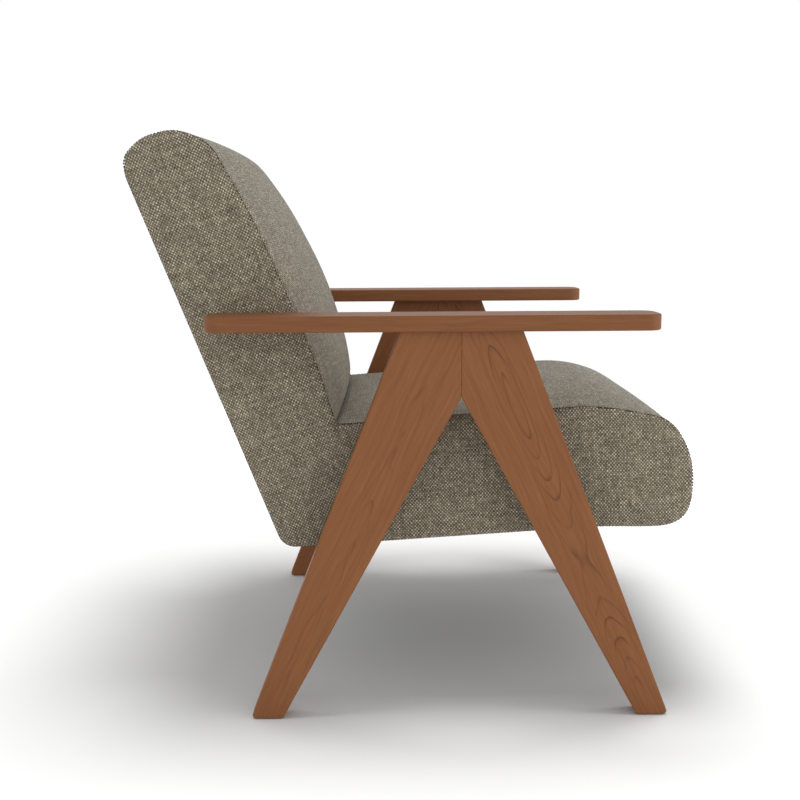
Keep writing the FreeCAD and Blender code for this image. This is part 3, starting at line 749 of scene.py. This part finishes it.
def mirrored(piece, name):
    twin = new_piece(name, piece.data.copy())
    points = mesh_points(twin.data)
    points[:, 0] *= -1
    move_points(twin.data, points)
    twin.data.flip_normals()
    return twin


panel_left = side_panel("side_panel_left", ["side_cover_left", "side_pad_left"])
panel_right = mirrored(panel_left, "side_panel_right")
finish_panel(panel_left, ["side_cover_left", "side_pad_left"])
finish_panel(panel_right, ["side_cover_right", "side_pad_right"])

# Seam shadow: near-black dashes in the two seams that run right round the side
# panels, as painted shadow in the fold between the cloths. Each dash sinks into
# that fold, so it shows as a short dark dash.
dash_pitch, dash_length, dash_height = 0.0046, 0.0030, 0.0014
dash_stand, dash_sink = 0.0002, 0.0008   # out of the seam sideways, and in from its outline


def dark_dashes(name):
    """Both rows of dashes, each a square rod that narrows at its ends, near-black as painted seam shadow."""
    corners, faces = [], []
    count = int(len(seam_line) * seam_step / dash_pitch)
    for side in (-1, 1):
        for number in range(count):
            at = int(number * dash_pitch / seam_step)
            ahead = Vector((0, *seam_way[at]))
            outward = Vector((0, ahead.z, -ahead.y))
            middle = Vector((side * (seam_side + dash_stand), *seam_line[at])) - outward * dash_sink
            start = len(corners)
            for along, width in ((-0.5, 0.5), (-0.3, 1.0), (0.3, 1.0), (0.5, 0.5)):
                for sideways, out in ((-0.5, -0.5), (0.5, -0.5), (0.5, 0.5), (-0.5, 0.5)):
                    corners.append(middle + ahead * (dash_length * along)
                                   + outward * (out * width * dash_height)
                                   + Vector((sideways * width * dash_height, 0, 0)))
            for ring in (0, 4, 8):
                for corner in range(4):
                    onward = (corner + 1) % 4
                    faces.append([start + ring + corner, start + ring + onward,
                                  start + ring + 4 + onward, start + ring + 4 + corner])
            faces.append([start + 3, start + 2, start + 1, start])
            faces.append([start + 12, start + 13, start + 14, start + 15])
    mesh = bpy.data.meshes.new(name)
    mesh.from_pydata([tuple(corner) for corner in round_nose(np.array(corners))], [], faces)
    # The dashes are near-black, as painted shadow in the seam's fold.
    shadow_finish = fibre_mat("painted_seam_shade", (0.045, 0.037, 0.026, 1), (0.016, 0.013, 0.010, 1), (1, 1, 1), 900)
    mesh.materials.append(shadow_finish)
    piece = new_piece(name, mesh)
    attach(piece, "root")


dark_dashes("seam_shadow_dashes")

# Dust cover: black non-woven cloth, cut to the bottom of the body and stapled
# to its rails.
dress(["dust_cover"],
      fibre_mat("black_dust_cloth", (0.022, 0.022, 0.023, 1), (0.010, 0.010, 0.011, 1), (1, 1, 1), 900))

# Legs: two flat hardwood planks on each side, butted at a plumb joint under
# the armrest, stained a reddish brown and finished in satin lacquer. Each has
# its grain along its own length.


pale_stain, dark_stain = np.array((0.295, 0.117, 0.043)), np.array((0.200, 0.073, 0.026))
ring_stain = (0.090, 0.031, 0.012, 1)


def stained_plank(name, foot, tilt, heart, figure, across="Y", deep="X", painted_shade=1.0):
    """A plain-sawn face: growth rings cut at a slant, over fine straight fibres.

    foot is where the plank's grain starts and tilt turns it upright. heart says
    how deep the tree's middle lies below the face, how far and over what length
    that sways, where it is deepest, the first ring, and how far apart they lie."""
    finish, tree, shader = new_finish(name, 0.5, Specular_IOR_Level=0.22)
    place = step(tree, "TexCoord").outputs["Object"]
    place = step(tree, "VectorMath", {0: place, 1: foot}, operation="SUBTRACT").outputs[0]
    place = step(tree, "VectorRotate", {"Vector": place, "Angle": tilt},
                 rotation_type="X_AXIS").outputs[0]
    broad = drawn_out(tree, place, (1, 1, 0.35))
    bent = swayed(tree, place, broad, 26.0, 2.0, 0.010)
    parts = step(tree, "SeparateXYZ", {0: bent})
    depth, wave, length, middle, first, spacing = heart
    turn = sums(tree, "SUBTRACT", parts.outputs["Z"], middle)
    turn = sums(tree, "MULTIPLY", turn, 2 * math.pi / length)
    below = sums(tree, "ADD", sums(tree, "MULTIPLY", sums(tree, "COSINE", turn), wave), depth)
    below = sums(tree, "ADD", below, parts.outputs[deep])
    radius = sums(tree, "SQRT", sums(tree, "ADD", sums(tree, "MULTIPLY", below, below),
                                     sums(tree, "MULTIPLY", parts.outputs[across], parts.outputs[across])))
    ring = sums(tree, "FRACT", sums(tree, "DIVIDE", sums(tree, "SUBTRACT", radius, first), spacing))
    line = sums(tree, "POWER", ring, 9.0)
    line = sums(tree, "MULTIPLY", line, spread(tree, ring, 0.92, 1.0, 1.0, 0.0))
    beside = sums(tree, "ABSOLUTE", parts.outputs[across])
    line = sums(tree, "MULTIPLY", line, spread(tree, beside, 0.009, 0.021, 1.0, 0.22))
    clear = mottle(tree, broad, 38.0, 2.0)
    line = sums(tree, "MULTIPLY", line, spread(tree, clear, 0.38, 0.62, 0.5 * figure, 2.6 * figure))

    fibres = mottle(tree, drawn_out(tree, bent, (60, 60, 1.6)), 9.0, 5.0, 0.65)
    streaks = mottle(tree, drawn_out(tree, bent, (22, 22, 0.7)), 9.0, 3.0, 0.6)
    share = sums(tree, "ADD", spread(tree, fibres, 0.3, 0.7, 0.0, 0.5),
                 spread(tree, streaks, 0.3, 0.7, 0.0, 0.5))
    # painted_shade scales both stain colours; below 1 it darkens this copy of the stain as painted shade.
    colour = tint(tree, share, (*(pale_stain * painted_shade), 1), (*(dark_stain * painted_shade), 1))
    colour = tint(tree, sums(tree, "MINIMUM", line, 0.75), colour, ring_stain)
    tree.links.new(colour, shader.inputs["Base Color"])
    rough_up(tree, shader, fibres, 0.00012)
    return finish


for side, shift in (("left", 0.05), ("right", 0.0)):
    for end, toward in (("rear", -1), ("front", 1)):
        plank = "leg_" + end + "_" + side
        corners = np.array([tuple(v.co) for v in solids[plank].data.vertices])
        low = corners[corners[:, 2] < 0.02]
        foot = tuple((low.min(axis=0) + low.max(axis=0)) / 2)
        if end == "front":
            heart, figure, tilt = (0.035, 0.0145, 0.486, 0.25 + shift, 0.0087, 0.0055), 0.60, 24.0
        else:
            heart, figure, tilt = (0.032, 0.012, 1.2, 0.60 + shift, 0.002, 0.0045), 0.32, 25.7
        dress([plank], stained_plank(plank + "_stain", foot, math.radians(tilt) * toward, heart, figure))
dress(["leg_spacers", "leg_joint_dowels", "arm_dowels"],
      stained_plank("spacer_stain", (0.28, 0.0, 0.3), 0.0, (0.045, 0.01, 0.5, 0.1, 0.002, 0.006), 0.2))

# Armrests: a flat plank of the same wood over each pair of legs, with rounded
# ends and eased edges, doweled to their heads.
# The armrests take a copy of the legs' stain darkened to 0.88 as painted shade.
for side, sign in (("left", 1), ("right", -1)):
    foot = (0.302 * sign, 0.07 * sign, 0.5635)
    heart = (0.030, 0.012, 0.8, 0.1, 0.002, 0.0060)
    dress(["armrest_" + side], stained_plank("armrest_" + side + "_stain", foot, math.radians(90), heart,
                                             0.16, across="X", deep="Y", painted_shade=0.88))

# Foot glides: a moulded nylon disc nailed under each foot, which the chair
# stands and slides on.


def moulded_nylon(name):
    finish, tree, shader = new_finish(name, 0.5)
    grain = mottle(tree, object_place(tree), 1500.0, 2.0)
    tone = tint(tree, grain, (0.012, 0.011, 0.010, 1), (0.03, 0.028, 0.026, 1))
    tree.links.new(tone, shader.inputs["Base Color"])
    rough_up(tree, shader, grain, 0.00005)
    return finish


dress(["foot_glides"], moulded_nylon("moulded_nylon"))

# Floor, light and camera: a plain pale floor, an even studio light with a
# lamp for the floor's shadow alone, and the camera of the photograph.
bpy.ops.object.select_all(action="DESELECT")
lamp_height = 3.6
floor_tone, floor_shown, floor_most = 0.52, 0.585, 0.95
world_glow, world_shown = 0.84, 1.0
bpy.ops.mesh.primitive_circle_add(vertices=96, radius=2.5, fill_type="NGON", location=(0, 0, 0))
floor = bpy.context.object
floor.name = "studio_floor"


def seen_rays(tree):
    """1 for a ray that sees a thing straight, in a mirror or through glass."""
    path = step(tree, "LightPath").outputs
    bent = sums(tree, "MAXIMUM", path["Is Glossy Ray"], path["Is Transmission Ray"])
    return sums(tree, "MAXIMUM", path["Is Camera Ray"], bent)


floor_finish, tree, shader = new_finish("studio_floor", 0.95, Specular_IOR_Level=0.0)
seen = seen_rays(tree)
place = step(tree, "TexCoord").outputs["Object"]
far = step(tree, "VectorMath", {0: place}, operation="LENGTH").outputs["Value"]
paler = sums(tree, "POWER", sums(tree, "DIVIDE", far, lamp_height), 2.0)
paler = sums(tree, "POWER", sums(tree, "ADD", paler, 1.0), 2.0)
paler = sums(tree, "MINIMUM", sums(tree, "MULTIPLY", paler, floor_shown), floor_most)
tree.links.new(tint(tree, seen, (floor_tone, floor_tone, floor_tone, 1), paler), shader.inputs["Base Color"])
floor.data.materials.append(floor_finish)

world = bpy.data.worlds.new("studio")
bpy.context.scene.world = world
world.use_nodes = True
tree = world.node_tree
background = tree.nodes["Background"]
background.inputs["Color"].default_value = (1, 1, 1, 1)
strength = spread(tree, seen_rays(tree), 0.0, 1.0, world_glow, world_shown)
tree.links.new(strength, background.inputs["Strength"])


def softbox(name, place, target, size, power, shape="SQUARE"):
    bpy.ops.object.light_add(type="AREA", location=place)
    lamp = bpy.context.object
    lamp.name = name
    lamp.data.shape = shape
    lamp.data.size = size
    lamp.data.energy = power
    lamp.rotation_euler = (Vector(target) - lamp.location).to_track_quat("-Z", "Y").to_euler()
    return lamp


softbox("front_softbox", (-1.2, -2.8, 0.9), (0, 0.0, 0.35), 2.0, 16.0)
softbox("side_softbox", (-2.6, -0.9, 0.6), (0, -0.1, 0.3), 2.0, 3.0)
floor_lamp = softbox("floor_softbox", (0, 0, lamp_height), (0, 0, 0), 1.5, 121.0, "DISK")
lit_by_it = bpy.data.collections.new("floor_only")
lit_by_it.objects.link(floor)
floor_lamp.light_linking.receiver_collection = lit_by_it

eye = (-1.72894, 0.0433, 0.68883)
yaw, pitch, roll = 0.013481, 0.162156, -0.005203
focal_length, frame_width = 1047.0, 800.0   # both in pixels of the photograph
ahead = Vector((math.cos(yaw) * math.cos(pitch), -math.sin(yaw) * math.cos(pitch), -math.sin(pitch)))
right = Vector((-math.sin(yaw), -math.cos(yaw), 0))
up = right.cross(ahead)
right, up = (math.cos(roll) * right + math.sin(roll) * up,
             -math.sin(roll) * right + math.cos(roll) * up)
bpy.ops.object.camera_add()
camera = bpy.context.object
camera.name = "camera"
camera.matrix_world = Matrix(((right.x, up.x, -ahead.x, eye[0]), (right.y, up.y, -ahead.y, eye[1]),
                              (right.z, up.z, -ahead.z, eye[2]), (0, 0, 0, 1)))
camera.data.sensor_width = 36.0
camera.data.lens = focal_length / frame_width * camera.data.sensor_width
bpy.context.scene.camera = camera
bpy.context.scene.view_settings.view_transform = "Standard"
